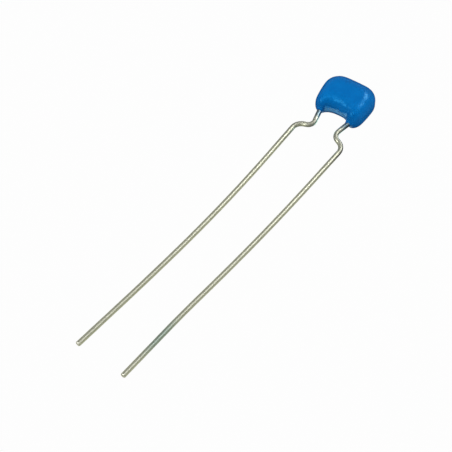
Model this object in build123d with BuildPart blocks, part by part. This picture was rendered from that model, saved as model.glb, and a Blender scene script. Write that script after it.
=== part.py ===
from build123d import *
from math import atan2, cos, hypot, radians, sin, tan
import os

# A dipped multilayer ceramic capacitor with two formed leads, in millimetres.
# It lies on a table on its broad back and on the tips of its leads: X runs across the
# leads, Y along them towards the body, and Z up.

# Leads: drawn wire, kinked in under the body, the long runs slightly bowed.
wire_diameter = 0.5
lead_pitch = 5.08
tip_chamfer = 0.08
left_shoulder_drop = 0.52
right_shoulder_drop = 0.22
left_tip_out = 0.03
right_tip_out = 0.03
left_shoulder_out = 0.12
right_shoulder_out = 0.05
left_bows_out = (-0.35, -0.69)
right_bows_out = (-0.01, 0.36)
bow_place_shares = (0.25, 0.61)
left_neck = 1.22
right_neck = 1.05
neck_drop = 4.86
# How far a bend reaches from its corner, as a share of the shorter run beside it.
top_bend_share = 0.06
neck_bend_share = 0.4
shoulder_bend_share = 0.45
bow_bend_share = 0.68
tip_bend_share = 0.28

# The chip: a fired ceramic block with metal end caps.
chip_length = 3.2
chip_height = 2.5
chip_thickness = 1.6
chip_round = 0.08
cap_band = 0.5
cap_wall = 0.06

# Electrode plates inside the ceramic, joined to the left and right caps by turns.
electrode_count = 12
electrode_thickness = 0.04
electrode_side_margin = 0.25
electrode_end_margin = 0.3
electrode_stack_share = 0.76

# Solder between a lead and its end cap.
solder_film = 0.03
solder_spread_share = 0.78
solder_hollow_share = 0.2
solder_length_share = 0.72
lead_overlap_share = 0.82
lead_below_chip = 0.1

# Epoxy coat: a pillow round the chip, a little off its centre, that runs down onto the leads.
coat_face_wall = 0.55
coat_end_wall = 0.42
coat_lower_wall = 0.66
coat_side_wall = 0.46
coat_off_centre = -0.07
coat_rundown = 1.48
coat_crown_share = 0.075
coat_top_share = 1.022
coat_middle_share = 1.0
coat_foot_share = 0.863
coat_corner_share = 0.65
coat_edge_share = 0.42
# The run-downs thin out towards their ends and close on the leads as thin sleeves.
leg_thin_run = 1.25
leg_end_lift = 0.3
sleeve_wall = 0.04
sleeve_end_lift = 0.08
sleeve_length = 0.6
sleeve_flare = 5
# The arch between the two run-downs, with a rounded rim.
arch_leg_wall = 0.04
arch_drop = 0.28
arch_corner = 0.3
arch_front_round = 0.65
arch_back_round = 0.95
rim_lap_share = 0.5

# The body stands off the lean pivot, which lies midway between the kinks of the leads.
lean_height = 32.1
lean_to_chip = 5.12
body_lean = 6.4

# How far a cut runs past the surface that it opens, and how far a rounding runs past the broad
# face that it leaves, so that it meets that face at a slight angle.
overrun = 0.5
rounding_rise = 0.01

wire_radius = wire_diameter / 2
coat_thickness = chip_thickness + 2 * coat_face_wall
coat_top = chip_height / 2 + coat_end_wall
coat_foot = coat_top + coat_rundown
lead_across_chip = chip_length / 2 + solder_film + wire_radius
coat_half_width = lead_across_chip + wire_radius + coat_side_wall
lean = radians(body_lean)
chip_across = -lean_to_chip * sin(lean)
chip_along = lean_height + lean_to_chip * cos(lean)
overall_length = chip_along + coat_top * cos(lean)
left_run = lean_height - left_shoulder_drop
right_run = lean_height - right_shoulder_drop

# The plane of the leads: origin midway between the tips, tilted so that the body's
# back and the tips both touch the table.
rest_tilt = atan2(coat_thickness / 2 - wire_radius, chip_along - chip_height / 2)
lay = Plane(
    origin=(0, -overall_length / 2 * cos(rest_tilt), wire_radius * cos(rest_tilt)),
    x_dir=(1, 0, 0),
    z_dir=(0, -sin(rest_tilt), cos(rest_tilt)),
)
# The plane of the body: origin at the chip's centre, turned over by the lean.
body = Plane(
    origin=lay.from_local_coords((chip_across, chip_along, 0)),
    x_dir=lay.x_dir * cos(lean) + lay.y_dir * sin(lean),
    z_dir=lay.z_dir,
)


def beside_tips(across, along):
    """Place on the leads' plane of a place given from the chip's centre."""
    return (
        chip_across + across * cos(lean) - along * sin(lean),
        chip_along + across * sin(lean) + along * cos(lean),
    )


def bend_radius(before, corner, after, reach_share):
    """Radius of a bend whose arc starts a share of the shorter run from its corner."""
    run_in = Vector(corner) - Vector(before)
    run_out = Vector(after) - Vector(corner)
    turn = radians(run_in.get_angle(run_out))
    return reach_share * min(run_in.length, run_out.length) / tan(turn / 2)


def lead_route(side, run, tip_out, bows_out, shoulder_out, neck):
    """Corners of a lead, from its end on the chip down to its tip."""
    tip = (side * (lead_pitch / 2 + tip_out), 0)
    shoulder = (side * (lead_pitch / 2 + shoulder_out), run)
    bows = []
    for share, bow_out in zip(bow_place_shares, bows_out):
        chord = tip[0] + share * (shoulder[0] - tip[0])
        bows.append((chord + side * bow_out, share * run))
    on_chip = side * lead_across_chip
    return [
        beside_tips(on_chip, lead_overlap_share * chip_height / 2),
        beside_tips(on_chip, -chip_height / 2 - lead_below_chip),
        beside_tips(side * neck, -neck_drop),
        shoulder,
        bows[1],
        bows[0],
        tip,
    ]


bend_shares = (
    top_bend_share,
    neck_bend_share,
    shoulder_bend_share,
    bow_bend_share,
    tip_bend_share,
)


def bend_radii(route):
    """Radius of each bend of a lead, in the order of its corners."""
    corners = zip(route, route[1:], route[2:], bend_shares)
    return [bend_radius(*corner) for corner in corners]


left_route = lead_route(-1, left_run, left_tip_out, left_bows_out, left_shoulder_out, left_neck)
right_route = lead_route(1, right_run, right_tip_out, right_bows_out, right_shoulder_out, right_neck)

os.makedirs("parts", exist_ok=True)

# Leads
with BuildPart() as left_lead:
    with BuildLine(lay) as left_path:
        FilletPolyline(*left_route, radius=bend_radii(left_route))
    with BuildSketch(Plane(origin=left_path.line @ 0, z_dir=left_path.line % 0)):
        Circle(wire_radius)
    sweep(path=left_path.line)
    chamfer(left_lead.faces().sort_by(Axis.Y)[0].edges(), tip_chamfer)
left_lead.part.label = "left_lead"
export_step(left_lead.part, "parts/left_lead.step")

with BuildPart() as right_lead:
    with BuildLine(lay) as right_path:
        FilletPolyline(*right_route, radius=bend_radii(right_route))
    with BuildSketch(Plane(origin=right_path.line @ 0, z_dir=right_path.line % 0)):
        Circle(wire_radius)
    sweep(path=right_path.line)
    chamfer(right_lead.faces().sort_by(Axis.Y)[0].edges(), tip_chamfer)
right_lead.part.label = "right_lead"
export_step(right_lead.part, "parts/right_lead.step")

# Electrode plates, stacked through the thickness and drawn out to one end by turns
ceramic_length = chip_length - 2 * cap_wall
ceramic_height = chip_height - 2 * cap_wall
ceramic_thickness = chip_thickness - 2 * cap_wall
plate_length = ceramic_length - electrode_end_margin
plate_height = ceramic_height - 2 * electrode_side_margin
stack = electrode_stack_share * ceramic_thickness
plate_step = (stack - electrode_thickness) / (electrode_count - 1)

electrodes = []
for number in range(electrode_count):
    towards = -1 if number % 2 == 0 else 1
    under = number * plate_step - stack / 2
    with BuildPart() as electrode:
        with BuildSketch(body.offset(under)):
            with Locations((towards * electrode_end_margin / 2, 0)):
                Rectangle(plate_length, plate_height)
        extrude(amount=electrode_thickness)
    electrode.part.label = f"electrode_{number + 1:02d}"
    export_step(electrode.part, f"parts/electrode_{number + 1:02d}.step")
    electrodes.append(electrode)

# Ceramic block, fired round the plates
with BuildPart() as ceramic_block:
    with BuildSketch(body.offset(-ceramic_thickness / 2)):
        Rectangle(ceramic_length, ceramic_height)
    extrude(amount=ceramic_thickness)
    for electrode in electrodes:
        add(electrode.part, mode=Mode.SUBTRACT)
ceramic_block.part.label = "ceramic_block"
export_step(ceramic_block.part, "parts/ceramic_block.step")


def chip_end(side):
    """Plane on an end of the chip, facing into the chip."""
    return Plane(
        origin=body.from_local_coords((side * chip_length / 2, 0, 0)),
        x_dir=body.y_dir,
        z_dir=body.x_dir * -side,
    )


# End caps: five-sided, wrapped round the ends of the ceramic
terminations = {}
for name, side in (("left_termination", -1), ("right_termination", 1)):
    end = chip_end(side)
    with BuildPart() as termination:
        with BuildSketch(end):
            Rectangle(chip_height, chip_thickness)
        extrude(amount=cap_band)
        fillet(termination.edges().filter_by(Axis(end.origin, end.z_dir)), chip_round)
        with BuildSketch(end.offset(cap_wall)):
            Rectangle(ceramic_height, ceramic_thickness)
        extrude(amount=cap_band, mode=Mode.SUBTRACT)
    termination.part.label = name
    export_step(termination.part, f"parts/{name}.step")
    terminations[name] = termination

# Solder: a hollow-sided seam that holds each lead along its end cap
solder_length = solder_length_share * chip_height
solder_spread = solder_spread_share * chip_thickness / 2
seam = Plane(
    origin=body.from_local_coords((0, -solder_length / 2, 0)),
    x_dir=body.x_dir,
    z_dir=body.y_dir,
)
solders = {}
for name, side, lead in (("left_solder", -1, left_lead), ("right_solder", 1, right_lead)):
    cap_face = side * chip_length / 2
    wire_axis = side * lead_across_chip
    chord_across = (cap_face + wire_axis) / 2
    chord_up = (solder_spread + wire_radius) / 2
    hollow_across = chord_across + solder_hollow_share * (cap_face - chord_across)
    hollow_up = chord_up + solder_hollow_share * (wire_radius - chord_up)
    with BuildPart() as solder:
        with BuildSketch(seam):
            with BuildLine():
                Line((cap_face, solder_spread), (cap_face, -solder_spread))
                ThreePointArc(
                    (cap_face, -solder_spread), (hollow_across, -hollow_up), (wire_axis, -wire_radius)
                )
                Line((wire_axis, -wire_radius), (wire_axis, wire_radius))
                ThreePointArc(
                    (wire_axis, wire_radius), (hollow_across, hollow_up), (cap_face, solder_spread)
                )
            make_face()
        extrude(amount=solder_length)
        add(lead.part, mode=Mode.SUBTRACT)
    solder.part.label = name
    export_step(solder.part, f"parts/{name}.step")
    solders[name] = solder


lead_top = -chip_height / 2 - lead_below_chip


def lead_slope(neck):
    """How much a lead moves in, over its run along, between the chip and its neck."""
    return (lead_across_chip - neck) / (neck_drop + lead_top)


def lead_across(neck, along):
    """Place across of a lead's middle on its leaning run below the chip."""
    return lead_across_chip + lead_slope(neck) * (along - lead_top)


def leg_wall_across(side, neck, along):
    """Inner side of a run-down, a thin wall away from the leaning lead inside it."""
    return side * (lead_across(neck, along) - (wire_radius + arch_leg_wall) * hypot(1, lead_slope(neck)))


def sleeve_plane(side, neck, along):
    """Plane square to a lead on its leaning run, facing up the lead to the chip."""
    return Plane(
        origin=body.from_local_coords((side * lead_across(neck, along), along, 0)),
        x_dir=body.z_dir,
        z_dir=body.y_dir + body.x_dir * side * lead_slope(neck),
    )


# What the arch leaves open
half_thickness = coat_thickness / 2
past_face = half_thickness + overrun
arch_apex = -chip_height / 2 - coat_lower_wall
arch_shoulder = arch_apex - arch_drop
arch_mouth = -coat_foot - overrun
left_wall = [(leg_wall_across(-1, left_neck, along), along) for along in (arch_mouth, arch_shoulder)]
right_wall = [(leg_wall_across(1, right_neck, along), along) for along in (arch_shoulder, arch_mouth)]
arch_crown = (left_wall[1], (0, arch_apex), right_wall[0])
with BuildPart() as arch_opening:
    with BuildSketch(body.offset(-past_face)) as arch:
        with BuildLine():
            Line(*left_wall)
            ThreePointArc(*arch_crown)
            Line(*right_wall)
            Line(right_wall[1], left_wall[0])
        make_face()
        fillet(arch.vertices().group_by(Axis.Y)[-1], arch_corner)
    extrude(amount=2 * past_face)

# What the rounding of the arch's rim takes away, at the front and more broadly at the back
rounded_face = half_thickness + rounding_rise
front_rim = rounded_face - arch_front_round
back_rim = arch_back_round - rounded_face
rim_lap = rim_lap_share * arch_corner
with BuildPart() as arch_rim:
    with BuildLine(body) as arch_path:
        Line(*left_wall)
        ThreePointArc(*arch_crown)
        Line(*right_wall)
        fillet(arch_path.vertices(), arch_corner)
    with BuildSketch(Plane(origin=arch_path.line @ 0, x_dir=body.z_dir, z_dir=arch_path.line % 0)):
        with BuildLine():
            Line((back_rim, 0), (front_rim, 0))
            TangentArc((front_rim, 0), (rounded_face, -arch_front_round), tangent=(1, 0))
            Polyline(
                (rounded_face, -arch_front_round),
                (past_face, -arch_front_round),
                (past_face, rim_lap),
                (-past_face, rim_lap),
                (-past_face, -arch_back_round),
                (-rounded_face, -arch_back_round),
            )
            TangentArc((back_rim, 0), (-rounded_face, -arch_back_round), tangent=(-1, 0))
        make_face()
    sweep(path=arch_path.line)

# Epoxy coat
coat = Plane(
    origin=body.from_local_coords((coat_off_centre, 0, 0)),
    x_dir=body.x_dir,
    z_dir=body.z_dir,
)
coat_side = Plane(origin=coat.origin, x_dir=coat.y_dir, z_dir=coat.x_dir)
top_corner = (coat_top_share * coat_half_width, coat_top - coat_crown_share * coat_top)
foot_corner = (coat_foot_share * coat_half_width, -coat_foot)
side_middle = (coat_middle_share * coat_half_width, (coat_top - coat_foot) / 2)
coat_corner = coat_corner_share * coat_half_width
coat_edge = coat_edge_share * coat_thickness
leg_end = leg_end_lift - coat_foot
leg_thin_start = leg_end + leg_thin_run
sleeve_end = sleeve_end_lift - coat_foot
sleeve_radius = wire_radius + sleeve_wall
with BuildPart() as epoxy_coating:
    with BuildSketch(coat.offset(-half_thickness)) as outline:
        with BuildLine():
            ThreePointArc(top_corner, (0, coat_top), (-top_corner[0], top_corner[1]))
            ThreePointArc(
                (-top_corner[0], top_corner[1]),
                (-side_middle[0], side_middle[1]),
                (-foot_corner[0], foot_corner[1]),
            )
            Line((-foot_corner[0], foot_corner[1]), foot_corner)
            ThreePointArc(foot_corner, side_middle, top_corner)
        make_face()
        fillet(outline.vertices(), coat_corner)
    extrude(amount=coat_thickness)
    broad_faces = epoxy_coating.faces().filter_by(Axis(coat.origin, coat.z_dir))
    fillet(broad_faces.edges(), coat_edge)
    add(arch_opening.part, mode=Mode.SUBTRACT)
    add(arch_rim.part, mode=Mode.SUBTRACT)
    with BuildSketch(coat_side):
        with BuildLine():
            TangentArc((leg_thin_start, rounded_face), (leg_end, wire_radius), tangent=(-1, 0))
            Line((leg_end, wire_radius), (leg_end, -wire_radius))
            TangentArc((leg_thin_start, -rounded_face), (leg_end, -wire_radius), tangent=(-1, 0))
            Polyline(
                (leg_thin_start, -rounded_face),
                (leg_thin_start, -past_face),
                (coat_top + overrun, -past_face),
                (coat_top + overrun, past_face),
                (leg_thin_start, past_face),
                (leg_thin_start, rounded_face),
            )
        make_face()
    extrude(amount=coat_half_width + overrun, both=True, mode=Mode.INTERSECT)
    for side, neck in ((-1, left_neck), (1, right_neck)):
        with BuildSketch(sleeve_plane(side, neck, sleeve_end)):
            Circle(sleeve_radius)
        extrude(amount=sleeve_length, taper=-sleeve_flare)
    with BuildSketch(body.offset(-ceramic_thickness / 2)):
        Rectangle(ceramic_length, ceramic_height)
    extrude(amount=ceramic_thickness, mode=Mode.SUBTRACT)
    for held in (*terminations.values(), *solders.values(), left_lead, right_lead):
        add(held.part, mode=Mode.SUBTRACT)
epoxy_coating.part.label = "epoxy_coating"
export_step(epoxy_coating.part, "parts/epoxy_coating.step")
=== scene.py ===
import math

import bpy
import numpy as np
from mathutils import Matrix, Vector


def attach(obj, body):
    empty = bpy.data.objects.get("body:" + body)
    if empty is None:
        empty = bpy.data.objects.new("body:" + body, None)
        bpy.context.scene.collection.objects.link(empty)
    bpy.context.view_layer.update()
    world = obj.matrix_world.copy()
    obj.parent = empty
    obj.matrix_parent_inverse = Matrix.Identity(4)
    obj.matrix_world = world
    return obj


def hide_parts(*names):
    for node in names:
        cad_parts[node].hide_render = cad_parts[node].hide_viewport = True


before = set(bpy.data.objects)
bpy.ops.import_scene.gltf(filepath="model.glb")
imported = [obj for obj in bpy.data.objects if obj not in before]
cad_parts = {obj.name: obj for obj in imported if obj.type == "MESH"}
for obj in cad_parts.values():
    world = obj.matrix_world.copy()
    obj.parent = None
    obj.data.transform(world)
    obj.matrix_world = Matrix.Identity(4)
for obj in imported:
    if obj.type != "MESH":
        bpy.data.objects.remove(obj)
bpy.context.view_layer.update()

# A dipped ceramic capacitor on two formed leads. Its sizes are in millimetres, as in the solids,
# and turns are in radians, apart from foot_turn, which is in degrees. The floor, the lights and
# the camera are in metres.
MM = 0.001

# The leads' route, from the chip to the tips
WIRE_RADIUS = 0.25
LEAD_PITCH = 5.08
LEAN_HEIGHT = 32.1
LEAN_TO_CHIP = 5.12
BODY_LEAN = math.radians(6.4)
NECK_DROP = 4.86
LEAD_ACROSS_CHIP = 1.88
LEAD_TOP = 1.025
LEAD_BELOW_CHIP = -1.35
BOW_PLACE_SHARES = (0.25, 0.61)
BEND_SHARES = np.array([0.06, 0.4, 0.45, 0.68, 0.28])

# The wire's skin: waves of the tin as (height, pace along, pace round, start), then bends and tip
TIN_WAVES = ((0.006, 1.7, 2, 0), (0.005, 4.1, -1, 1.3), (0.003, 9.7, 3, 0))
TIN_RADIUS_SHARE = 0.992
PRESS_RATE = 1.6
PRESS_SPREAD_SHARE = 0.02
PRESS_FLAT_SHARE = 0.05
BEND_WINDOW = 13
BEND_MARK_SHARES = (0.75, 0.25)
TIP_ROUND = 0.1
TIP_LENGTH = 0.2
CUT_END_SHARE = 1.2
STAIN_SPREAD = 2.2
# Painted shade and blue reflection of the coat on the wire: where it ends, from the chip, and how
# long it fades
COAT_SHADE_END = 5.5
COAT_SHADE_FADE = 1.3

# What differs from side to side: the lead's route, its stain, and how the coat closes on it.
# The left lead's stain lies at its end inside the coat, where it doesn't show.
LEFT = dict(
    side=-1, run=31.58, tip_out=0.03, bows=(-0.35, -0.69), shoulder=0.12, neck=1.22,
    stain_from_tip=40.0, lip=0.3, soft=1.15, foot_turn=54.0,
)
RIGHT = dict(
    side=1, run=31.88, tip_out=0.03, bows=(-0.01, 0.36), shoulder=0.05, neck=1.05,
    stain_from_tip=5.0, lip=1.0, soft=1.0, foot_turn=38.7,
)

# The coat's outline and thickness
COAT_HALF_WIDTH = 2.62
COAT_HALF_THICKNESS = 1.35
COAT_TOP = 1.67
COAT_SPREAD = 0.03
COAT_FOOT = -3.2
COAT_CORNER = 1.62
COAT_TOP_SHARE = 1.022
COAT_CROWN_SHARE = 0.075
COAT_FOOT_SHARE = 0.88
COAT_OFF_CENTRE = -0.09
CHIP_TO_FOOT = 1.25

# The coat's roundings at the outline and at the arch: a run along the face and a rise from it
COAT_EDGE = 1.15
COAT_FRONT_RUN = 1.45
COAT_BACK_EDGE = 0.95
ARCH_FRONT = 1.2
ARCH_BACK_RUN = 0.95
ARCH_BACK_RISE = 1.35
ROUND_MOST_SHARE = 0.97
ROUND_FIT_POWER = 6
LEAST_SLANT = 0.45
SOFT_TURNS = (1.5, 0.8)

# The arch, its sagging front lip, and the fan of sections round a centre under it
ARCH_APEX = -2.07
ARCH_HALF = 1.58
ARCH_DROP = 0.28
ARCH_JOIN_POWER = 3
ARCH_LIP = 0.18
LIP_TURN = 0.95
LIP_SPREAD = 0.42
FAN_CENTRE = -2.75
LEAST_WALL_FACING = 0.02

# The run-downs, which thin out and close on the wires
RUN_DOWN_END = -3.08
RUN_DOWN_HALF = 0.37
RUN_DOWN_SINK = 0.035
THINNING_POWER = 0.524
WIRE_FILM = 0.02
BESIDE_TURN = 0.7
BESIDE_BLEND = 0.09
LEAST_BESIDE_FACING = 0.05
CLOSING_TURN = 0.9
FAN_CLOSING_SHARE = 0.6

# The broad faces: a shallow dome, and waves of the dried dip as the tin's are given
DOME_FALL_SHARE = 0.05
DOME_HALF_WIDTH = 2.6
DOME_HALF_HEIGHT = 2.4
DOME_BELOW_CHIP = 0.2
DOME_MOST = 1.6
DIP_WAVES = ((0.004, 2.3, 1.1, 0), (0.003, -1.9, 3.1, 2), (0.002, 6.1, 4.3, 0))
DIP_SINK_SHARE = 0.008

CHIP_ACROSS = -LEAN_TO_CHIP * math.sin(BODY_LEAN)
CHIP_ALONG = LEAN_HEIGHT + LEAN_TO_CHIP * math.cos(BODY_LEAN)
OVERALL = CHIP_ALONG + COAT_TOP * math.cos(BODY_LEAN)
REST_TILT = math.atan2(COAT_HALF_THICKNESS - WIRE_RADIUS, CHIP_ALONG - CHIP_TO_FOOT)

# Colours of the dip and of the tin
DIP_DEEP = (0.0004, 0.120, 0.395, 1)
DIP_CLEAR = (0.0008, 0.142, 0.440, 1)
DIP_FLECK = (0.0008, 0.1, 0.36, 1)
# Darker blue towards the bottom of the coat, where it closes on the leads
DIP_LOW_DARK = (0.001, 0.078, 0.285, 1)
DIP_GLOSS = (0.06, 0.58, 1.0, 1)
TIN_BRIGHT = (0.92, 0.93, 0.74, 1)
TIN_STREAK = (0.85, 0.86, 0.675, 1)
TIN_DULL = (0.73, 0.735, 0.57, 1)
TIN_BENT = (0.42, 0.43, 0.37, 1)
TIN_STAIN = (0.44, 0.60, 0.52, 1)
# Painted shade and blue reflection of the coat, on the wire just below it
TIN_COAT_SHADE = (0.14, 0.28, 0.38, 1)
TIN_CUT = (0.92, 0.90, 0.84, 1)

# Finishes of the pieces inside, by a word in the node's name
INNER_LOOKS = {
    "ceramic": dict(
        name="fired_ceramic", light=(0.62, 0.52, 0.4, 1), dark=(0.5, 0.41, 0.31, 1),
        rough=0.5, metallic=0.0, scale=1500.0,
    ),
    "electrode": dict(
        name="electrode_nickel", light=(0.6, 0.57, 0.52, 1), dark=(0.5, 0.47, 0.43, 1),
        rough=0.35, metallic=1.0, scale=2500.0,
    ),
    "termination": dict(
        name="end_cap_tin", light=(0.82, 0.81, 0.78, 1), dark=(0.7, 0.69, 0.66, 1),
        rough=0.3, metallic=1.0, scale=2000.0,
    ),
    "solder": dict(
        name="solder_seam", light=(0.74, 0.74, 0.73, 1), dark=(0.6, 0.6, 0.59, 1),
        rough=0.22, metallic=1.0, scale=1800.0,
    ),
}

# The floor: what the camera, gloss and diffuse light see of it, and where each changes. What gloss
# and diffuse light see is painted: a painted shadow round the coat and body, and a painted pool of
# light before the arch that the arch mirrors
FLOOR_HALF = 0.6
FLOOR_WHITE = 0.985
LEAD_GLOW = (0.40, 0.41, 0.33, 1)
# Painted shadow of the coat, as gloss sees the floor near it
COAT_SHADOW_GLOSS = (0.02, 0.03, 0.05, 1)
GLOW_CHANGE = (0.0105, 0.013)
# Painted pool of light, placed where the arch's underside mirrors the floor
ARCH_GLOW = (1.4, 2.3, 2.2, 1)
ARCH_POOL_CENTRE = (-0.0001, 0.01458, 0)
ARCH_POOL_STRETCH = (0.5, 1, 1)
ARCH_POOL_REACH = (0.0006, 0.00125)
FLOOR_LIGHT = (1.2, 1.2, 1.2, 1)
# Painted shadow round the body, as diffuse light sees the floor
FLOOR_SHADE = (0.05, 0.05, 0.05, 1)
BODY_SHADE_CENTRE = (-0.0013, 0.0155, 0)
BODY_SHADE_REACH = (0.0025, 0.0065)
SURROUND = 0.24
SURROUND_TONE = (0.98, 0.98, 1.0, 1)
WHITE = (1, 1, 1, 1)

# Soft lights: name, direction, distance, size, power, seen by gloss, seen by diffuse light
SOFT_LIGHTS = (
    ("back_box", (0.42, 0.49, 0.77), 0.40, (0.24, 0.24), 0.13, True, True),
    ("back_lamp", (0.12, 0.73, 0.67), 0.40, (0.16, 0.09), 0.38, True, True),
    ("front_strip", (-0.28, -0.70, 0.65), 0.40, (0.42, 0.14), 0.85, True, True),
    ("front_top", (0.04, -0.38, 0.92), 0.40, (0.24, 0.10), 0.19, True, False),
    ("side_box", (0.98, 0.10, 0.10), 0.40, (0.30, 0.30), 0.55, False, True),
    ("fill", (0.0, -0.15, 1.0), 0.45, (0.7, 0.7), 1.45, False, True),
)

# The camera; its sensor and lens are in millimetres
SENSOR_WIDTH = 36.0
CAMERA_LENS = 144.56
CAMERA_NEAR_FAR = (0.01, 5.0)
CAMERA_RIGHT = (0.78265, 0.62216, 0.01903)
CAMERA_BACK = (0.3641, -0.4824, 0.7967)
CAMERA_PLACE = (0.059706, -0.081073, 0.132258)


# Places and surfaces


def on_leads_plane(across, along, up):
    """Place in the part, in metres, of places given on the leads' plane in millimetres.

    The plane starts midway between the tips and is turned about X by the rest tilt."""
    tilt = REST_TILT
    y = -OVERALL / 2 * math.cos(tilt) + along * math.cos(tilt) - up * math.sin(tilt)
    z = WIRE_RADIUS * math.cos(tilt) + along * math.sin(tilt) + up * math.cos(tilt)
    return np.stack(np.broadcast_arrays(across, y, z), -1) * MM


def on_body_plane(across, along):
    """Place on the leads' plane of a place given from the chip's centre: turned by the lean."""
    ahead, aside = math.cos(BODY_LEAN), math.sin(BODY_LEAN)
    return (
        CHIP_ACROSS + across * ahead - along * aside,
        CHIP_ALONG + across * aside + along * ahead,
    )


def ease(value, low, high):
    """Smooth step: nought at low and before it, one at high and past it, a cubic between them."""
    t = np.clip((value - low) / (high - low), 0, 1)
    return t * t * (3 - 2 * t)


def soft_max(a, b, blend):
    """The larger of two heights, with the corner between them rounded over blend."""
    return (a + b + np.sqrt((a - b) ** 2 + blend ** 2)) / 2


def waves(first, second, terms):
    """Sum of sines over two parameters: each term is (height, pace along each of them, start)."""
    return sum(
        height * np.sin(first_pace * first + second_pace * second + start)
        for height, first_pace, second_pace, start in terms
    )


def closed_skin(name, rings, first_pole, last_pole, values):
    """Closed mesh over a grid of rings that turn right-handed along their travel.

    Each cell of the grid is one quad from ring to ring, the last column joins the first, and
    a fan of triangles closes each end on its pole. values are extra numbers per grid point."""
    count, around = rings.shape[:2]
    total = count * around
    points = np.concatenate([rings.reshape(-1, 3), [first_pole], [last_pole]])
    row = np.arange(count - 1)[:, None] * around
    col = np.arange(around)[None, :]
    nxt = (col + 1) % around
    quads = np.stack([row + col, row + nxt, row + around + nxt, row + around + col], -1)
    end = total - around
    first = np.stack([np.full(around, total), nxt[0], col[0]], -1)
    last = np.stack([np.full(around, total + 1), end + col[0], end + nxt[0]], -1)
    faces = quads.reshape(-1, 4).tolist() + first.tolist() + last.tolist()
    mesh = bpy.data.meshes.new(name)
    mesh.from_pydata(points.tolist(), [], faces)
    mesh.polygons.foreach_set("use_smooth", np.ones(len(mesh.polygons), bool))
    for key, grid in values.items():
        grid = np.broadcast_to(grid, (count, around) + grid.shape[2:])
        flat = grid.reshape(total, -1)
        flat = np.concatenate([flat, flat[:around].mean(0)[None], flat[-around:].mean(0)[None]])
        kind, field = ("FLOAT", "value") if flat.shape[1] == 1 else ("FLOAT_VECTOR", "vector")
        carried = mesh.attributes.new(key, kind, "POINT")
        carried.data.foreach_set(field, flat.ravel().astype(np.float32))
    mesh.update()
    piece = bpy.data.objects.new(name, mesh)
    bpy.context.scene.collection.objects.link(piece)
    return piece


# The leads


def lead_corners(side, run, tip_out, bows, shoulder, neck, **other_sizes):
    """Corners of a lead on the leads' plane: end on chip, below chip, neck, shoulder, bows, tip."""
    tip = np.array([side * (LEAD_PITCH / 2 + tip_out), 0])
    top = np.array([side * (LEAD_PITCH / 2 + shoulder), run])
    bowed = [
        tip + share * (top - tip) + [side * out, 0] for share, out in zip(BOW_PLACE_SHARES, bows)
    ]
    return np.array([
        on_body_plane(side * LEAD_ACROSS_CHIP, LEAD_TOP),
        on_body_plane(side * LEAD_ACROSS_CHIP, LEAD_BELOW_CHIP),
        on_body_plane(side * neck, -NECK_DROP),
        top, bowed[1], bowed[0], tip,
    ])


def lead_line(corners, steps=160):
    """Centre line of a lead: straight runs joined by arcs that are tangent to both.

    An arc starts a share of the shorter run from its corner, so its radius is that reach over
    the tangent of half the turn. Gives the points, the directions and the length at each."""
    run = np.diff(corners, axis=0)
    length = np.linalg.norm(run, axis=1)
    way = run / length[:, None]
    way_in, way_out = way[:-1], way[1:]
    reach = BEND_SHARES * np.minimum(length[:-1], length[1:])
    cross = way_in[:, 0] * way_out[:, 1] - way_in[:, 1] * way_out[:, 0]
    turn = np.arctan2(np.abs(cross), (way_in * way_out).sum(1))
    radius = reach / np.tan(turn / 2)
    inward = np.sign(cross)[:, None] * np.stack([-way_in[:, 1], way_in[:, 0]], 1)
    start = corners[1:-1] - reach[:, None] * way_in
    centre = start + radius[:, None] * inward
    swept = turn[:, None, None] * np.linspace(0, 1, steps)[None, :, None]
    out, ahead = inward[:, None], way_in[:, None]
    arcs = centre[:, None] + radius[:, None, None] * (np.sin(swept) * ahead - np.cos(swept) * out)
    heads = np.cos(swept) * ahead + np.sin(swept) * out
    points = np.concatenate([corners[:1], arcs.reshape(-1, 2), corners[-1:]])
    headings = np.concatenate([way[:1], heads.reshape(-1, 2), way[-1:]])
    along = np.concatenate([[0], np.cumsum(np.linalg.norm(np.diff(points, axis=0), axis=1))])
    return points, headings, along


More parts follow.
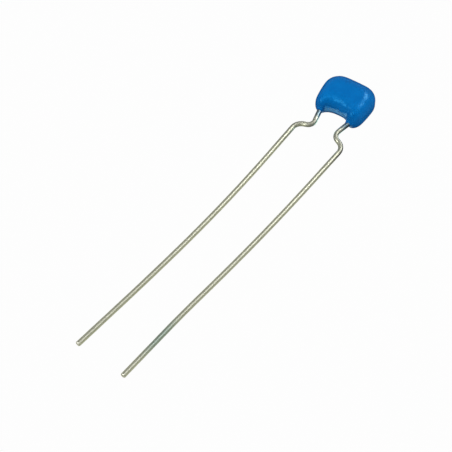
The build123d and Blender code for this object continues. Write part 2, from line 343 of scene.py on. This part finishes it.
def lead(node, sizes, stations=760, tip_rows=22, around=36):
    """A tinned wire: a ring carried along the lead's centre line.

    The ring is a circle whose radius swells and sinks by slow waves, as dipped tin does. In a
    bend it is pressed flat across the bend and spreads out of its plane. At the tip the radius
    follows a quarter round, and at the chip it ends square. For the finish the mesh carries the
    place along and round the wire, a mark that grows with the bend, a stain that is a bell curve
    round its place, the coat's painted shade and blue reflection that fade below the coat, and
    the cut end."""
    points, headings, along = lead_line(lead_corners(**sizes))
    total = along[-1]
    tip_start = total - TIP_LENGTH
    tip_places = tip_start + TIP_LENGTH * np.sin(np.linspace(0, math.pi / 2, tip_rows))
    place = np.concatenate([np.linspace(0, tip_start, stations)[:-1], tip_places])
    line = np.stack([np.interp(place, along, points[:, k]) for k in (0, 1)], 1)
    head = np.stack([np.interp(place, along, headings[:, k]) for k in (0, 1)], 1)
    head /= np.linalg.norm(head, axis=1)[:, None]
    angle = np.unwrap(np.arctan2(head[:, 1], head[:, 0]))
    curve = np.gradient(angle, place)
    window = np.hanning(BEND_WINDOW)
    padded = np.pad(curve, BEND_WINDOW // 2, mode="edge")
    bend = np.convolve(padded, window / window.sum(), mode="valid")
    pressed = np.tanh(PRESS_RATE * np.abs(bend))[:, None]
    from_chip = place[:, None]
    from_tip = (total - place)[:, None]
    spin = np.linspace(0, 2 * math.pi, around, endpoint=False)[None, :]
    radius = WIRE_RADIUS * (TIN_RADIUS_SHARE + waves(from_chip, spin, TIN_WAVES))
    gap = np.clip(1 - from_tip / TIP_ROUND, 0, 1)
    radius = radius - TIP_ROUND * (1 - np.sqrt(np.clip(1 - gap ** 2, 0, 1)))
    up = radius * np.cos(spin) * (1 + PRESS_SPREAD_SHARE * pressed)
    out = radius * np.sin(spin) * (1 - PRESS_FLAT_SHARE * pressed)
    # The ring turns from the plane's normal towards heading x normal.
    across = line[:, :1] + head[:, 1:] * out
    forward = line[:, 1:] - head[:, :1] * out
    rings = on_leads_plane(across, forward, up)
    even, sided = BEND_MARK_SHARES
    stain = np.exp(-((from_tip - sizes["stain_from_tip"]) / STAIN_SPREAD) ** 2)
    cut = ease(TIP_ROUND * CUT_END_SHARE - from_tip, 0, TIP_ROUND)
    values = {
        "wire_place": np.stack(np.broadcast_arrays(from_chip, np.cos(spin), np.sin(spin)), -1),
        "bend_mark": pressed * (even + sided * np.sign(bend)[:, None] * np.sin(spin)),
        "blue_tint": stain * np.ones_like(spin),
        # Painted shade and blue reflection of the coat on the wire, fading below the coat
        "painted_coat_shade": ease(COAT_SHADE_END - from_chip, 0, COAT_SHADE_FADE) * np.ones_like(spin),
        "cut_end": cut * np.ones_like(spin),
    }
    poles = on_leads_plane(line[[0, -1], 0], line[[0, -1], 1], np.zeros(2))
    piece = closed_skin(node + "_wire", rings, poles[0], poles[1], values)
    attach(piece, "root")
    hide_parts(node)
    return piece


# The coat


def circle_through(a, b, c):
    """Centre and radius of the circle through three places."""
    rows = 2 * np.array([np.subtract(b, a), np.subtract(c, a)])
    right = [np.dot(b, b) - np.dot(a, a), np.dot(c, c) - np.dot(a, a)]
    centre = np.linalg.solve(rows, right)
    return centre, np.linalg.norm(np.subtract(a, centre))


def coat_outline(normal):
    """Right half of the coat's outline, by the angle of its outward normal.

    It is four arcs in turn, foot corner, side, top corner and crown, each its centre plus its
    radius along the normal. The corner arcs touch their neighbours from inside, so each corner's
    centre lies nearer its neighbours' centres by the corner's radius."""
    top = COAT_TOP + COAT_SPREAD
    top_corner = (COAT_TOP_SHARE * COAT_HALF_WIDTH, top - COAT_CROWN_SHARE * COAT_TOP)
    middle = (COAT_HALF_WIDTH, (top + COAT_FOOT) / 2)
    foot_corner = (COAT_FOOT_SHARE * COAT_HALF_WIDTH, COAT_FOOT)
    crown_c, crown_r = circle_through(top_corner, (0, top), (-top_corner[0], top_corner[1]))
    side_c, side_r = circle_through(top_corner, middle, foot_corner)
    inner_side, inner_crown = side_r - COAT_CORNER, crown_r - COAT_CORNER
    foot_up = COAT_FOOT + COAT_CORNER
    foot_across = side_c[0] + math.sqrt(inner_side ** 2 - (foot_up - side_c[1]) ** 2)
    foot_c = np.array([foot_across, foot_up])
    apart = crown_c - side_c
    far = np.linalg.norm(apart)
    to_chord = (inner_side ** 2 - inner_crown ** 2 + far ** 2) / (2 * far)
    half_chord = math.sqrt(inner_side ** 2 - to_chord ** 2)
    turned = np.array([-apart[1], apart[0]]) / far
    corner_c = side_c + to_chord * apart / far + half_chord * turned
    joins = [
        math.atan2(*(foot_c - side_c)[::-1]),
        math.atan2(*(corner_c - side_c)[::-1]),
        math.atan2(*(corner_c - crown_c)[::-1]),
    ]
    part = np.searchsorted(joins, normal)
    centres = np.array([foot_c, side_c, corner_c, crown_c])[part]
    radii = np.array([COAT_CORNER, side_r, COAT_CORNER, crown_r])[part]
    return centres + radii[:, None] * np.stack([np.cos(normal), np.sin(normal)], 1)


def leg_line(sizes, along):
    """A lead's centre line inside its run-down: its place across, its slope and its stretch.

    The place is a straight slope from the chip's foot to the neck, and the stretch is the length
    of that slope for each unit along."""
    slope = (LEAD_ACROSS_CHIP - sizes["neck"]) / (NECK_DROP + LEAD_BELOW_CHIP)
    return LEAD_ACROSS_CHIP + slope * (along - LEAD_BELOW_CHIP), slope, math.hypot(1, slope)


def smoothed(guide, reach=9):
    """A guide line eased by a short rolling mean, with its ends held."""
    weight = np.hanning(reach + 2)[1:-1]
    padded = np.pad(guide, ((reach // 2, reach // 2), (0, 0)), mode="edge")
    rows = np.arange(len(guide))[:, None] + np.arange(reach)[None, :]
    return (padded[rows] * (weight / weight.sum())[None, :, None]).sum(1)


def half_coat(sizes, fan_rows=84, leg_rows=30, outline_steps=2400):
    """Guide lines of one half of the coat, from the middle of its top down to a lead.

    Sections lie on rays that fan round a centre under the arch, and below that level with it.
    A ray runs from the arch to the outline. The arch is the nearer of the lead's inner side and
    the crown's arc, joined by adding their reaches as inverse powers; the outline is the farther
    of the coat's outline and the lead's outer side, with the corner rounded. The half thickness
    falls to the run-down's as a power of an ellipse, and then to the wire's as a square. The lip
    of the arch is a bell curve over the turn, and the arch's front rounding grows softer towards
    the lead. Gives, per section, the outer and inner places, the half thickness, how far the
    section has closed round the wire, the lip, how squarely the ray crosses the outline and the
    arch, and the softness."""
    normal = np.linspace(-math.pi / 2, math.pi / 2, outline_steps)
    outline = coat_outline(normal)
    turn = np.linspace(math.pi / 2, 0, fan_rows)
    ray = np.stack([np.cos(turn), np.sin(turn)], 1)
    line, slope, stretch = leg_line(sizes, FAN_CENTRE)
    skin = (WIRE_RADIUS + WIRE_FILM) * stretch
    facing = np.cos(turn) - slope * np.sin(turn)
    beside = (line + skin) / np.maximum(facing, LEAST_BESIDE_FACING)
    beside = np.where(turn < BESIDE_TURN, beside, 0)
    seen = np.arctan2(outline[:, 1] - FAN_CENTRE, outline[:, 0])
    reach = np.interp(turn, seen, np.hypot(outline[:, 0], outline[:, 1] - FAN_CENTRE))
    outer_reach = soft_max(reach, beside, BESIDE_BLEND)
    across_edge = np.cos(turn - np.interp(turn, seen, normal))
    foot = line - WIRE_RADIUS * stretch
    shoulder = ARCH_APEX - ARCH_DROP
    centre, radius = circle_through((ARCH_HALF, shoulder), (0, ARCH_APEX), (-ARCH_HALF, shoulder))
    drop = centre[1] - FAN_CENTRE
    crown = drop * np.sin(turn) + np.sqrt(radius ** 2 - (drop * np.cos(turn)) ** 2)
    wall = foot / np.maximum(facing, LEAST_WALL_FACING)
    inner_reach = (wall ** -ARCH_JOIN_POWER + crown ** -ARCH_JOIN_POWER) ** (-1 / ARCH_JOIN_POWER)
    fallen = np.clip(1 - turn / math.radians(sizes["foot_turn"]), 0, 1)
    left_over = (1 - fallen ** 2) ** THINNING_POWER
    thick = RUN_DOWN_HALF + (COAT_HALF_THICKNESS - RUN_DOWN_HALF) * left_over
    outer = outer_reach[:, None] * ray + [0, FAN_CENTRE]
    inner = inner_reach[:, None] * ray + [0, FAN_CENTRE]
    along_arch = np.gradient(inner, axis=0)
    along_arch /= np.linalg.norm(along_arch, axis=1)[:, None]
    across_arch = np.abs(along_arch[:, 0] * ray[:, 1] - along_arch[:, 1] * ray[:, 0])
    # The run-down ends just under the wire's surface.
    step = np.linspace(0, 1, leg_rows + 1)[1:]
    level = FAN_CENTRE + (RUN_DOWN_END - FAN_CENTRE) * step
    low_line = leg_line(sizes, level)[0]
    ring = WIRE_RADIUS + WIRE_FILM - RUN_DOWN_SINK * step
    fade = (1 - step) ** 2
    leg_outer = low_line + ring * stretch + (outer[-1, 0] - line - skin) * fade
    leg_inner = low_line - ring * stretch + (inner[-1, 0] - line + skin) * fade
    leg_thick = ring + (RUN_DOWN_HALF - WIRE_RADIUS - WIRE_FILM) * fade
    outer = np.concatenate([outer, np.stack([leg_outer, level], 1)])
    inner = np.concatenate([inner, np.stack([leg_inner, level], 1)])
    thick = np.concatenate([thick, leg_thick])[:, None]
    fan_closing = FAN_CLOSING_SHARE * ease(turn, CLOSING_TURN, 0)
    leg_closing = FAN_CLOSING_SHARE + (1 - FAN_CLOSING_SHARE) * step
    closing = np.concatenate([fan_closing, leg_closing])[:, None]
    sag = ARCH_LIP * sizes["lip"] * np.exp(-((turn - LIP_TURN) / LIP_SPREAD) ** 2)
    lip = np.concatenate([sag, np.full(leg_rows, sag[-1]) * fade])[:, None]
    slant = np.stack([across_edge, across_arch], 1).clip(LEAST_SLANT, 1)
    slant = np.concatenate([slant, np.repeat(slant[-1:], leg_rows, 0)])
    soft = 1 + (sizes["soft"] - 1) * ease(turn, *SOFT_TURNS)
    soft = np.concatenate([soft, np.full(leg_rows, soft[-1])])[:, None]
    guides = smoothed(np.concatenate([outer, inner, thick, closing, lip, slant, soft], 1))
    guides[:, [0, 2]] *= sizes["side"]
    return np.split(guides, [2, 4, 5, 6, 7, 9], axis=1)


def section_walk(corner=13, face=26, band=9):
    """One turn round a section: (share across, which broad face, angle of the outward normal)."""
    quarter = math.pi / 2
    steps = [
        (1, np.linspace(-1, 1, band), 0), (1, 1, np.linspace(0, 1, corner)),
        (np.linspace(1, 0, face), 1, 1), (0, 1, np.linspace(1, 2, corner)),
        (0, np.linspace(1, -1, band), 2), (0, -1, np.linspace(2, 3, corner)),
        (np.linspace(0, 1, face), -1, 3), (1, -1, np.linspace(3, 4, corner)),
    ]
    runs = [np.stack(np.broadcast_arrays(*step), -1)[:-1] for step in steps]
    walk = np.concatenate(runs)
    return walk[:, 0], walk[:, 1], walk[:, 2] * quarter


def epoxy_coat():
    """The dipped coat: a rounded section carried like a horseshoe from lead to lead.

    Each section is a rectangle between the arch and the outline with elliptical corners, each a
    run along the broad face and a rise from it. They are long and soft at the front and tighter
    at the back. Runs that together come near the section's width shrink to fit it, and a small
    share of the width and the thickness always stays flat. The arch's front edge sags by the
    lip. The broad faces fall away from the middle as a shallow dome, and slow waves of the dried
    dip run over them."""
    halves = zip(half_coat(LEFT), half_coat(RIGHT))
    guides = [np.concatenate([left[::-1], right[1:]]) for left, right in halves]
    outer, inner, thick, closing, lip, slant, soft = guides
    across, face, normal = (a[None, :] for a in section_walk())
    width = np.linalg.norm(outer - inner, axis=1)[:, None]
    out = (outer - inner) / width
    front = (1 + face) / 2
    outer_run = (COAT_FRONT_RUN * front + COAT_BACK_EDGE * (1 - front)) / slant[:, :1]
    inner_run = (ARCH_FRONT * soft * front + ARCH_BACK_RUN * (1 - front)) / slant[:, 1:]
    filled = (outer_run + inner_run) / (ROUND_MOST_SHARE * width)
    fitted = (1 + filled ** ROUND_FIT_POWER) ** (-1 / ROUND_FIT_POWER)
    outer_run, inner_run = outer_run * fitted, inner_run * fitted
    most = ROUND_MOST_SHARE * thick
    front_rise = np.minimum(ARCH_FRONT * soft, most)
    back_rise = np.minimum(ARCH_BACK_RISE, most)
    front_rise = front_rise + (np.minimum(COAT_EDGE, most) - front_rise) * across
    back_rise = back_rise + (np.minimum(COAT_BACK_EDGE, most) - back_rise) * across
    run = inner_run + (outer_run - inner_run) * across
    rise = front_rise * front + back_rise * (1 - front)
    reach = inner_run + (width - outer_run - inner_run) * across + run * np.cos(normal)
    reach = reach - lip * front * (1 - across)
    flat = (thick - front_rise) * front - (thick - back_rise) * (1 - front)
    height = flat + rise * np.sin(normal)
    aside = inner[:, :1] + reach * out[:, :1]
    along = inner[:, 1:] + reach * out[:, 1:]
    from_middle = (aside / DOME_HALF_WIDTH) ** 2 + ((along + DOME_BELOW_CHIP) / DOME_HALF_HEIGHT) ** 2
    dome = 1 - DOME_FALL_SHARE * (1 - closing) * from_middle.clip(0, DOME_MOST)
    height = height * dome * (1 - DIP_SINK_SHARE + waves(aside, along, DIP_WAVES))
    aside = aside + COAT_OFF_CENTRE * (1 - closing ** 2)
    place = on_body_plane(aside, along)
    rings = on_leads_plane(place[0], place[1], height)
    values = {"coat_place": np.stack([aside, along, height], -1)}
    ends = on_body_plane(*((outer + inner) / 2)[[0, -1]].T)
    poles = on_leads_plane(ends[0], ends[1], np.zeros(2))
    piece = closed_skin("epoxy_coat", rings, poles[0], poles[1], values)
    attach(piece, "root")
    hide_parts("epoxy_coating")
    return piece


# Shading helpers


def put(tree, kind, settings=None, **values):
    """Adds a node, sets its settings, and sets or links its inputs by name, or by i and a number."""
    made = tree.nodes.new(kind)
    for key, value in (settings or {}).items():
        setattr(made, key, value)
    for key, value in values.items():
        numbered = key[0] == "i" and key[1:].isdigit()
        socket = made.inputs[int(key[1:]) if numbered else key.replace("_", " ")]
        if isinstance(value, bpy.types.NodeSocket):
            tree.links.new(value, socket)
        else:
            socket.default_value = value
    return made


def number_math(tree, kind, first, second, **settings):
    """A Math node of the given kind on two numbers; returns its number socket."""
    settings["operation"] = kind
    return put(tree, "ShaderNodeMath", settings, i0=first, i1=second).outputs[0]


def vector_math(tree, kind, first, second):
    """A Vector Math node of the given kind on two vectors; returns the node's outputs."""
    return put(tree, "ShaderNodeVectorMath", {"operation": kind}, i0=first, i1=second).outputs


def mix_colour(tree, share, first, second):
    """Colour mix from first to second by share; returns the colour socket."""
    made = put(tree, "ShaderNodeMix", {"data_type": "RGBA"}, i0=share, i6=first, i7=second)
    return made.outputs[2]


def span(tree, value, between, gives):
    """Maps value from one range to another by a smooth step, held at the ends; returns the number."""
    made = put(
        tree, "ShaderNodeMapRange", {"interpolation_type": "SMOOTHSTEP"},
        i0=value, i1=between[0], i2=between[1], i3=gives[0], i4=gives[1],
    )
    return made.outputs[0]


def bump(tree, height, strength, distance):
    """Normal from a height; returns the normal socket."""
    made = put(tree, "ShaderNodeBump", Height=height, Strength=strength, Distance=distance)
    return made.outputs["Normal"]


def carried(tree, name, kind="Fac"):
    """What the mesh carries at its points under a name, as a number or a vector socket."""
    return put(tree, "ShaderNodeAttribute", {"attribute_name": name}).outputs[kind]


def group(name, sockets_in, sockets_out):
    """A new shader node group with the named sockets, and its input and output nodes' sockets."""
    tree = bpy.data.node_groups.new(name, "ShaderNodeTree")
    for label, kind, start in sockets_in:
        socket = tree.interface.new_socket(
            name=label, in_out="INPUT", socket_type="NodeSocket" + kind
        )
        if start is not None:
            socket.default_value = start
    for label, kind in sockets_out:
        tree.interface.new_socket(name=label, in_out="OUTPUT", socket_type="NodeSocket" + kind)
    given = tree.nodes.new("NodeGroupInput").outputs
    gives = tree.nodes.new("NodeGroupOutput").inputs
    return tree, given, gives


def use_group(tree, shared, **values):
    """Places a shared group in a material and sets or links its inputs; returns its output."""
    return put(tree, "ShaderNodeGroup", {"node_tree": shared}, **values).outputs[0]


def mottle_group(middle=0.5):
    """Cloudy mask: layered noise, stretched in contrast about its middle."""
    tree, given, gives = group("mottle", [
        ("Vector", "Vector", None), ("Scale", "Float", 5.0), ("Contrast", "Float", 2.0),
    ], [("Mask", "Float")])
    noise = put(
        tree, "ShaderNodeTexNoise",
        Vector=given["Vector"], Scale=given["Scale"], Detail=4.0, Roughness=0.55,
    )
    centred = number_math(tree, "SUBTRACT", noise.outputs["Fac"], middle)
    wide = number_math(tree, "MULTIPLY", centred, given["Contrast"])
    back = number_math(tree, "ADD", wide, middle, use_clamp=True)
    tree.links.new(back, gives["Mask"])
    return tree


def skin_group():
    """Fine surface height: a slow swell and a fine grain, mixed by weight."""
    tree, given, gives = group("surface_skin", [
        ("Vector", "Vector", None), ("Swell Scale", "Float", 5.0), ("Grain Scale", "Float", 50.0),
        ("Grain Weight", "Float", 0.3),
    ], [("Height", "Float")])
    swell, grain = (
        put(tree, "ShaderNodeTexNoise", Vector=given["Vector"], Scale=given[scale], Detail=detail)
        for scale, detail in (("Swell Scale", 2.0), ("Grain Scale", 3.0))
    )
    both = put(
        tree, "ShaderNodeMix", {"data_type": "FLOAT"},
        i0=given["Grain Weight"], i2=swell.outputs["Fac"], i3=grain.outputs["Fac"],
    )
    tree.links.new(both.outputs[0], gives["Height"])
    return tree


# Finishes


def new_material(name):
    """An empty material with a Principled shader; returns it, its tree and the shader."""
    made = bpy.data.materials.new(name)
    made.use_nodes = True
    tree = made.node_tree
    shader = next(n for n in tree.nodes if n.type == "BSDF_PRINCIPLED")
    return made, tree, shader


def blue_epoxy(mottle, skin):
    """Glossy blue dip: two blues clouded together and flecked, darker towards the bottom of the coat.
    """
    made, tree, shader = new_material("blue_epoxy")
    place = carried(tree, "coat_place", "Vector")
    along = put(tree, "ShaderNodeSeparateXYZ", i0=place).outputs[1]
    cloud = use_group(tree, mottle, Vector=place, Scale=0.9, Contrast=2.2)
    fleck = use_group(tree, mottle, Vector=place, Scale=9.0, Contrast=2.6)
    body = mix_colour(tree, cloud, DIP_DEEP, DIP_CLEAR)
    flecked = mix_colour(tree, span(tree, fleck, (0.55, 1.0), (0, 0.35)), body, DIP_FLECK)
    # Darker towards the bottom of the coat
    low_dark = span(tree, along, (-1.6, -3.0), (0, 0.6))
    colour = mix_colour(tree, low_dark, flecked, DIP_LOW_DARK)
    tree.links.new(colour, shader.inputs["Base Color"])
    tree.links.new(span(tree, cloud, (0, 1), (0.21, 0.27)), shader.inputs["Roughness"])
    peel = use_group(
        tree, skin, Vector=place, Swell_Scale=2.4, Grain_Scale=14.0, Grain_Weight=0.12
    )
    relief = bump(tree, peel, strength=0.05, distance=0.00006)
    tree.links.new(relief, shader.inputs["Normal"])
    shader.inputs["IOR"].default_value = 1.5
    shader.inputs["Specular IOR Level"].default_value = 0.5
    shader.inputs["Specular Tint"].default_value = DIP_GLOSS
    return made


def tinned_wire(mottle, skin):
    """Dipped tin on drawn wire: bright, dulled in lengthwise streaks and clouds, marked at bends.

    Over that lie a bluish stain, a painted shade and blue reflection of the coat just below it, and
    the clean cut end."""
    made, tree, shader = new_material("tinned_wire")
    place = carried(tree, "wire_place", "Vector")
    bend = carried(tree, "bend_mark")
    stain = carried(tree, "blue_tint")
    coat_shade = carried(tree, "painted_coat_shade")
    cut = carried(tree, "cut_end")
    drawn = put(tree, "ShaderNodeMapping", Vector=place, Scale=(0.22, 2.6, 2.6)).outputs[0]
    cloud = use_group(tree, mottle, Vector=place, Scale=0.8, Contrast=2.4)
    streak = use_group(tree, mottle, Vector=drawn, Scale=2.0, Contrast=2.6)
    colour = mix_colour(tree, streak, TIN_BRIGHT, TIN_STREAK)
    layers = (
        (cloud, (0.45, 1.0), 0.5, TIN_DULL),
        (bend, (0.1, 1.0), 0.7, TIN_BENT),
        (stain, (0, 1), 0.7, TIN_STAIN),
        # Painted shade and blue reflection of the coat
        (coat_shade, (0, 1), 0.85, TIN_COAT_SHADE),
        (cut, (0, 1), 0.7, TIN_CUT),
    )
    for mask, between, most, tone in layers:
        colour = mix_colour(tree, span(tree, mask, between, (0, most)), colour, tone)
    tree.links.new(colour, shader.inputs["Base Color"])
    streaked = span(tree, streak, (0, 1), (0.34, 0.44))
    worked = span(tree, bend, (0, 1), (0, 0.12))
    rough = number_math(tree, "ADD", streaked, worked, use_clamp=True)
    tree.links.new(rough, shader.inputs["Roughness"])
    height = use_group(
        tree, skin, Vector=drawn, Swell_Scale=1.6, Grain_Scale=12.0, Grain_Weight=0.35
    )
    relief = bump(tree, height, strength=0.04, distance=0.00002)
    tree.links.new(relief, shader.inputs["Normal"])
    shader.inputs["Metallic"].default_value = 1.0
    return made


def inner_finish(mottle, skin, name, light, dark, rough, metallic, scale, spread=0.15, finer=8):
    """Finish of a hidden piece: two tones clouded together, with a fine grain."""
    made, tree, shader = new_material(name)
    place = tree.nodes.new("ShaderNodeTexCoord").outputs["Object"]
    cloud = use_group(tree, mottle, Vector=place, Scale=scale, Contrast=2.0)
    tree.links.new(mix_colour(tree, cloud, light, dark), shader.inputs["Base Color"])
    tree.links.new(span(tree, cloud, (0, 1), (rough, rough + spread)), shader.inputs["Roughness"])
    grain = use_group(
        tree, skin, Vector=place, Swell_Scale=scale, Grain_Scale=scale * finer, Grain_Weight=0.5
    )
    relief = bump(tree, grain, strength=0.2, distance=0.00002)
    tree.links.new(relief, shader.inputs["Normal"])
    shader.inputs["Metallic"].default_value = metallic
    return made


def dress(piece, finish):
    """Gives a piece one material."""
    piece.data.materials.clear()
    piece.data.materials.append(finish)


# Floor, light and camera


def white_floor():
    """Flat square floor that is one plain white to the camera.

    What the part mirrors and gathers from it is set apart from that, and painted. Gloss sees a mid
    tone under the leads that turns dark towards the coat, a painted shadow, and a pale oval pool
    of painted light before the arch, which the arch mirrors. Diffuse light sees an even white with
    a painted shadow round the body."""
    half = FLOOR_HALF
    mesh = bpy.data.meshes.new("floor")
    corners = [(-half, -half, 0), (half, -half, 0), (half, half, 0), (-half, half, 0)]
    mesh.from_pydata(corners, [], [(0, 1, 2, 3)])
    floor = bpy.data.objects.new("floor", mesh)
    bpy.context.scene.collection.objects.link(floor)
    made = bpy.data.materials.new("white_floor")
    made.use_nodes = True
    tree = made.node_tree
    tree.nodes.clear()
    path = tree.nodes.new("ShaderNodeLightPath").outputs
    place = tree.nodes.new("ShaderNodeTexCoord").outputs["Object"]
    along = put(tree, "ShaderNodeSeparateXYZ", i0=place).outputs[1]
    # Gloss tone: a mid tone under the leads that turns into a painted shadow near the coat
    sheet = mix_colour(tree, span(tree, along, GLOW_CHANGE, (0, 1)), LEAD_GLOW, COAT_SHADOW_GLOSS)
    apart = vector_math(tree, "SUBTRACT", place, ARCH_POOL_CENTRE)[0]
    oval = vector_math(tree, "MULTIPLY", apart, ARCH_POOL_STRETCH)[0]
    far = put(tree, "ShaderNodeVectorMath", {"operation": "LENGTH"}, i0=oval).outputs["Value"]
    # A painted pool of light before the arch
    glow = mix_colour(tree, span(tree, far, ARCH_POOL_REACH, (0, 1)), ARCH_GLOW, sheet)
    # Painted shadow round the body, for diffuse light
    from_body = vector_math(tree, "DISTANCE", place, BODY_SHADE_CENTRE)["Value"]
    shade = mix_colour(
        tree, span(tree, from_body, BODY_SHADE_REACH, (0, 1)), FLOOR_SHADE, FLOOR_LIGHT
    )
    lit = mix_colour(tree, path["Is Diffuse Ray"], glow, shade)
    paper = put(tree, "ShaderNodeEmission", Color=lit, Strength=1.0).outputs[0]
    white = put(tree, "ShaderNodeEmission", Color=WHITE, Strength=FLOOR_WHITE).outputs[0]
    both = put(tree, "ShaderNodeMixShader", i0=path["Is Camera Ray"], i1=paper, i2=white)
    out = tree.nodes.new("ShaderNodeOutputMaterial")
    tree.links.new(both.outputs[0], out.inputs["Surface"])
    mesh.materials.append(made)


def surround():
    """The space round the floor: white to the camera, and a dim even light to the part."""
    world = bpy.data.worlds.new("surround")
    bpy.context.scene.world = world
    world.use_nodes = True
    tree = world.node_tree
    tree.nodes.clear()
    seen = tree.nodes.new("ShaderNodeLightPath").outputs["Is Camera Ray"]
    dim = put(tree, "ShaderNodeBackground", Color=SURROUND_TONE, Strength=SURROUND).outputs[0]
    white = put(tree, "ShaderNodeBackground", Color=WHITE, Strength=1.0).outputs[0]
    both = put(tree, "ShaderNodeMixShader", i0=seen, i1=dim, i2=white)
    out = tree.nodes.new("ShaderNodeOutputWorld")
    tree.links.new(both.outputs[0], out.inputs["Surface"])


def soft_lights():
    """Six soft rectangles that face the part: three high ones from the back and the front, one
    overhead that only gloss sees, and one at the side and a broad fill that gloss doesn't see."""
    for name, way, far, size, power, mirrored, spread in SOFT_LIGHTS:
        lamp = bpy.data.lights.new(name, "AREA")
        lamp.shape = "RECTANGLE"
        lamp.size, lamp.size_y = size
        lamp.energy = power
        light = bpy.data.objects.new(name, lamp)
        light.location = Vector(way).normalized() * far
        light.rotation_euler = Vector(way).to_track_quat("Z", "Y").to_euler()
        light.visible_glossy = mirrored
        light.visible_diffuse = spread
        light.visible_camera = False
        bpy.context.scene.collection.objects.link(light)


def photo_camera():
    """Camera at the photograph's place, looking down on the front right of the leads."""
    data = bpy.data.cameras.new("camera")
    data.sensor_fit = "HORIZONTAL"
    data.sensor_width = SENSOR_WIDTH
    data.lens = CAMERA_LENS
    data.clip_start, data.clip_end = CAMERA_NEAR_FAR
    camera = bpy.data.objects.new("camera", data)
    right = Vector(CAMERA_RIGHT).normalized()
    back = Vector(CAMERA_BACK).normalized()
    up = back.cross(right).normalized()
    right = up.cross(back)
    turn = Matrix((right, up, back)).transposed().to_4x4()
    camera.matrix_world = Matrix.Translation(Vector(CAMERA_PLACE)) @ turn
    bpy.context.scene.collection.objects.link(camera)
    bpy.context.scene.camera = camera


# The whole scene

mottle = mottle_group()
skin = skin_group()

dress(epoxy_coat(), blue_epoxy(mottle, skin))
wire_finish = tinned_wire(mottle, skin)
dress(lead("left_lead", LEFT), wire_finish)
dress(lead("right_lead", RIGHT), wire_finish)

inner_finishes = {word: inner_finish(mottle, skin, **look) for word, look in INNER_LOOKS.items()}
for name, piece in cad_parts.items():
    for word, finish in inner_finishes.items():
        if word in name:
            dress(piece, finish)

bpy.context.scene.view_settings.view_transform = "Standard"
white_floor()
surround()
soft_lights()
photo_camera()
